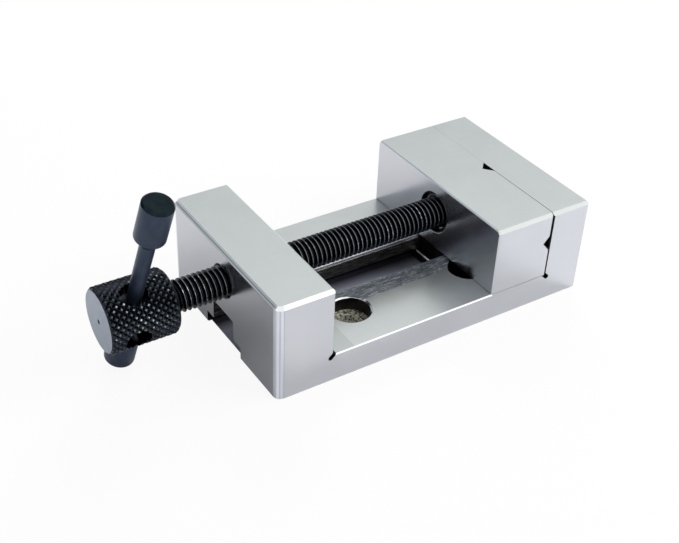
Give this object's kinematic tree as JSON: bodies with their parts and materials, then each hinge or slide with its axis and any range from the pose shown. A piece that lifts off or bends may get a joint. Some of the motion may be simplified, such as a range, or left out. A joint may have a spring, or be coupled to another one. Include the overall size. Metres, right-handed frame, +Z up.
{
  "type": "toolmakers vise",
  "caption": "Small ground-steel toolmakers vise with a screw-driven sliding jaw, a knurled screw head and a sliding tommy bar.",
  "frame": {"origin": "on the underside, on the centre line, directly below the fixed jaw's gripping face", "axes": "+X along the vise from the screw's head towards the fixed jaw, +Y across the jaws to the far side, +Z up from the underside"},
  "size_m": [0.1163, 0.05, 0.0501],
  "materials": {
    "ground_steel": "fine ground and lapped, pale grey",
    "plain_steel": "machined",
    "black_oxide_steel": "black oxide",
    "blued_steel": "satin blue-black oxide",
    "spring_steel": "spring steel"
  },
  "bodies": {
    "vise_body": {"body": "ground_steel"},
    "jaw": {"sliding_jaw": "ground_steel", "clamp_plate": "plain_steel", "clamp_screw_1": "black_oxide_steel", "clamp_screw_2": "black_oxide_steel", "retaining_ring": "spring_steel"},
    "screw": {"lead_screw": "black_oxide_steel", "thrust_collar": "plain_steel"},
    "bar": {"tommy_bar": "blued_steel", "tommy_bar_end": "blued_steel"}
  },
  "joints": [
    {"name": "jaw_slide", "type": "slide", "parent": "vise_body", "child": "jaw", "axis": [-1, 0, 0], "range_m": [0, 0.0445]},
    {"name": "screw_turn", "type": "hinge", "parent": "jaw", "child": "screw", "pos_m": [-0.0979, 0, 0.017], "axis": [-1, 0, 0], "range_deg": [0, 12817]},
    {"name": "bar_slide", "type": "slide", "parent": "screw", "child": "bar", "axis": [0.1132, -0.2988, 0.9476], "range_m": [-0.014, 0]}
  ],
  "couplings": [
    {"joint": "screw_turn", "follows": "jaw_slide", "rad_per_m": 5026.5}
  ]
}
